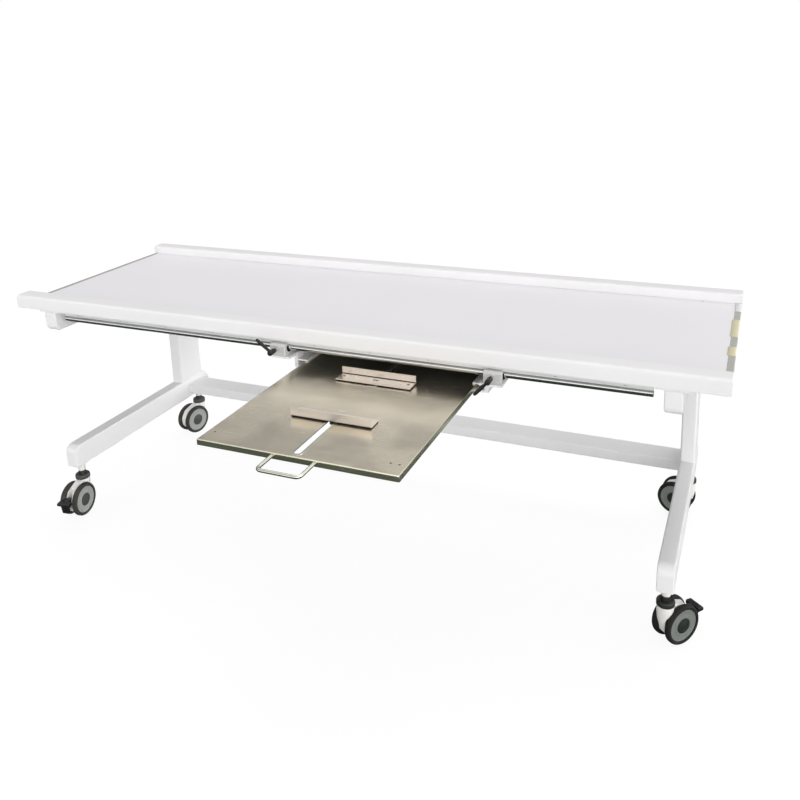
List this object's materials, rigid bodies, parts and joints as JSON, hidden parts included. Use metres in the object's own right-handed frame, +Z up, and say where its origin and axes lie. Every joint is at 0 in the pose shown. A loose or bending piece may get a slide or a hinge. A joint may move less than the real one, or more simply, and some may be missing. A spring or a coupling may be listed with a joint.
{
  "type": "radiography table",
  "caption": "Mobile radiography table: long flat top with raised side rails on C-shaped leg frames with swivel casters, and a sliding carriage with a draw-out cassette tray and clamps",
  "frame": {"origin": "middle of the bounding box, on the floor under the wheels", "axes": "+X along the table top, +Y from the tray side towards the columns, +Z up"},
  "size_m": [2, 1.1738, 0.705],
  "materials": {
    "white_paint": "satin white powder coat",
    "panel_board": "satin pale grey laminate",
    "aluminium": "plain extruded aluminium",
    "shaft_chrome": "ground and hard chromed",
    "stainless": "fine brushed stainless sheet",
    "gear_steel": "cut steel",
    "black_plastic": "black moulded plastic",
    "caster_white": "off-white moulded plastic",
    "stem_steel": "zinc-plated stem with a black bearing cap",
    "tyre_rubber": "dark tread",
    "hub_grey": "grey moulded wheel body"
  },
  "bodies": {
    "frame": {"panel": "panel_board", "rail_front": "white_paint", "rail_back": "white_paint", "end_strip_left": "aluminium", "end_strip_right": "aluminium", "mount_plate_left": "white_paint", "mount_plate_right": "white_paint", "arm_left": "white_paint", "arm_right": "white_paint", "column_left": "white_paint", "column_right": "white_paint", "foot_left": "white_paint", "foot_right": "white_paint", "stretcher": "white_paint", "guide_support_front": "aluminium", "guide_support_back": "aluminium", "guide_shaft_front": "shaft_chrome", "guide_shaft_back": "shaft_chrome", "stem_front_left": "stem_steel", "stem_front_right": "stem_steel", "stem_back_left": "stem_steel", "stem_back_right": "stem_steel"},
    "carriage": {"block_front_left": "aluminium", "block_front_right": "aluminium", "block_back_left": "aluminium", "block_back_right": "aluminium", "carriage_side_left": "white_paint", "carriage_side_right": "white_paint", "carriage_tie": "white_paint"},
    "left_lever": {"lever_left": "black_plastic"},
    "right_lever": {"lever_right": "black_plastic"},
    "tray_unit": {"tray": "stainless", "tray_handle": "stainless"},
    "front_clamp": {"clamp_front": "stainless", "rack_front": "gear_steel"},
    "back_clamp": {"clamp_back": "stainless", "rack_back": "gear_steel"},
    "centring_pinion": {"pinion": "gear_steel"},
    "caster_front_left": {"housing_front_left": "caster_white"},
    "wheel_front_left_a": {"tyre_front_left_a": "tyre_rubber", "hub_front_left_a": "hub_grey"},
    "wheel_front_left_b": {"tyre_front_left_b": "tyre_rubber", "hub_front_left_b": "hub_grey"},
    "brake_front_left": {"pedal_front_left": "black_plastic"},
    "caster_front_right": {"housing_front_right": "caster_white"},
    "wheel_front_right_a": {"tyre_front_right_a": "tyre_rubber", "hub_front_right_a": "hub_grey"},
    "wheel_front_right_b": {"tyre_front_right_b": "tyre_rubber", "hub_front_right_b": "hub_grey"},
    "brake_front_right": {"pedal_front_right": "black_plastic"},
    "caster_back_left": {"housing_back_left": "caster_white"},
    "wheel_back_left_a": {"tyre_back_left_a": "tyre_rubber", "hub_back_left_a": "hub_grey"},
    "wheel_back_left_b": {"tyre_back_left_b": "tyre_rubber", "hub_back_left_b": "hub_grey"},
    "caster_back_right": {"housing_back_right": "caster_white"},
    "wheel_back_right_a": {"tyre_back_right_a": "tyre_rubber", "hub_back_right_a": "hub_grey"},
    "wheel_back_right_b": {"tyre_back_right_b": "tyre_rubber", "hub_back_right_b": "hub_grey"}
  },
  "joints": [
    {"name": "carriage_run", "type": "slide", "parent": "frame", "child": "carriage", "axis": [1, 0, 0], "range_m": [-0.704, 0.336]},
    {"name": "tray_draw", "type": "slide", "parent": "carriage", "child": "tray_unit", "axis": [0, 1, 0], "range_m": [0, 0.466]},
    {"name": "front_clamp_slide", "type": "slide", "parent": "tray_unit", "child": "front_clamp", "axis": [0, -1, 0], "range_m": [-0.011, 0.13]},
    {"name": "back_clamp_slide", "type": "slide", "parent": "tray_unit", "child": "back_clamp", "axis": [0, 1, 0], "range_m": [-0.012, 0.131]},
    {"name": "pinion_turn", "type": "hinge", "parent": "tray_unit", "child": "centring_pinion", "pos_m": [0.184, -0.23259, 0.592], "axis": [0, 0, 1], "range_deg": [-470, 45]},
    {"name": "left_lever_turn", "type": "hinge", "parent": "carriage", "child": "left_lever", "pos_m": [-0.1075, -0.13059, 0.6414], "axis": [0, 1, 0], "range_deg": [-90, 45]},
    {"name": "right_lever_turn", "type": "hinge", "parent": "carriage", "child": "right_lever", "pos_m": [0.4755, -0.13059, 0.6414], "axis": [0, 1, 0], "range_deg": [-90, 45]},
    {"name": "swivel_front_left", "type": "hinge", "parent": "frame", "child": "caster_front_left", "pos_m": [-0.884, -0.05559, 0.1], "axis": [0, 0, 1], "continuous": true},
    {"name": "spin_front_left_a", "type": "hinge", "parent": "caster_front_left", "child": "wheel_front_left_a", "pos_m": [-0.9007, -0.0919, 0.05], "axis": [0.9925, 0.1219, 0], "continuous": true},
    {"name": "spin_front_left_b", "type": "hinge", "parent": "caster_front_left", "child": "wheel_front_left_b", "pos_m": [-0.85901, -0.08678, 0.05], "axis": [0.9925, 0.1219, 0], "continuous": true},
    {"name": "brake_front_left_press", "type": "hinge", "parent": "caster_front_left", "child": "brake_front_left", "pos_m": [-0.87547, -0.12507, 0.063], "axis": [0.9925, 0.1219, 0], "range_deg": [0, 20]},
    {"name": "swivel_front_right", "type": "hinge", "parent": "frame", "child": "caster_front_right", "pos_m": [0.884, -0.05559, 0.1], "axis": [0, 0, 1], "continuous": true},
    {"name": "spin_front_right_a", "type": "hinge", "parent": "caster_front_right", "child": "wheel_front_right_a", "pos_m": [0.92172, -0.04238, 0.05], "axis": [-0.7771, 0.6293, 0], "continuous": true},
    {"name": "spin_front_right_b", "type": "hinge", "parent": "caster_front_right", "child": "wheel_front_right_b", "pos_m": [0.88908, -0.01595, 0.05], "axis": [-0.7771, 0.6293, 0], "continuous": true},
    {"name": "brake_front_right_press", "type": "hinge", "parent": "caster_front_right", "child": "brake_front_right", "pos_m": [0.92805, -0.00119, 0.063], "axis": [-0.7771, 0.6293, 0], "range_deg": [0, 20]},
    {"name": "swivel_back_left", "type": "hinge", "parent": "frame", "child": "caster_back_left", "pos_m": [-0.884, 0.54141, 0.1], "axis": [0, 0, 1], "continuous": true},
    {"name": "spin_back_left_a", "type": "hinge", "parent": "caster_back_left", "child": "wheel_back_left_a", "pos_m": [-0.9126, 0.5135, 0.05], "axis": [0.9703, -0.2419, 0], "continuous": true},
    {"name": "spin_back_left_b", "type": "hinge", "parent": "caster_back_left", "child": "wheel_back_left_b", "pos_m": [-0.87185, 0.50334, 0.05], "axis": [0.9703, -0.2419, 0], "continuous": true},
    {"name": "swivel_back_right", "type": "hinge", "parent": "frame", "child": "caster_back_right", "pos_m": [0.884, 0.54141, 0.1], "axis": [0, 0, 1], "continuous": true},
    {"name": "spin_back_right_a", "type": "hinge", "parent": "caster_back_right", "child": "wheel_back_right_a", "pos_m": [0.85511, 0.56902, 0.05], "axis": [-0.2079, -0.9781, 0], "continuous": true},
    {"name": "spin_back_right_b", "type": "hinge", "parent": "caster_back_right", "child": "wheel_back_right_b", "pos_m": [0.84638, 0.52794, 0.05], "axis": [-0.2079, -0.9781, 0], "continuous": true}
  ],
  "couplings": [
    {"joint": "back_clamp_slide", "follows": "front_clamp_slide", "ratio": 1},
    {"joint": "pinion_turn", "follows": "front_clamp_slide", "rad_per_m": -62.5}
  ]
}
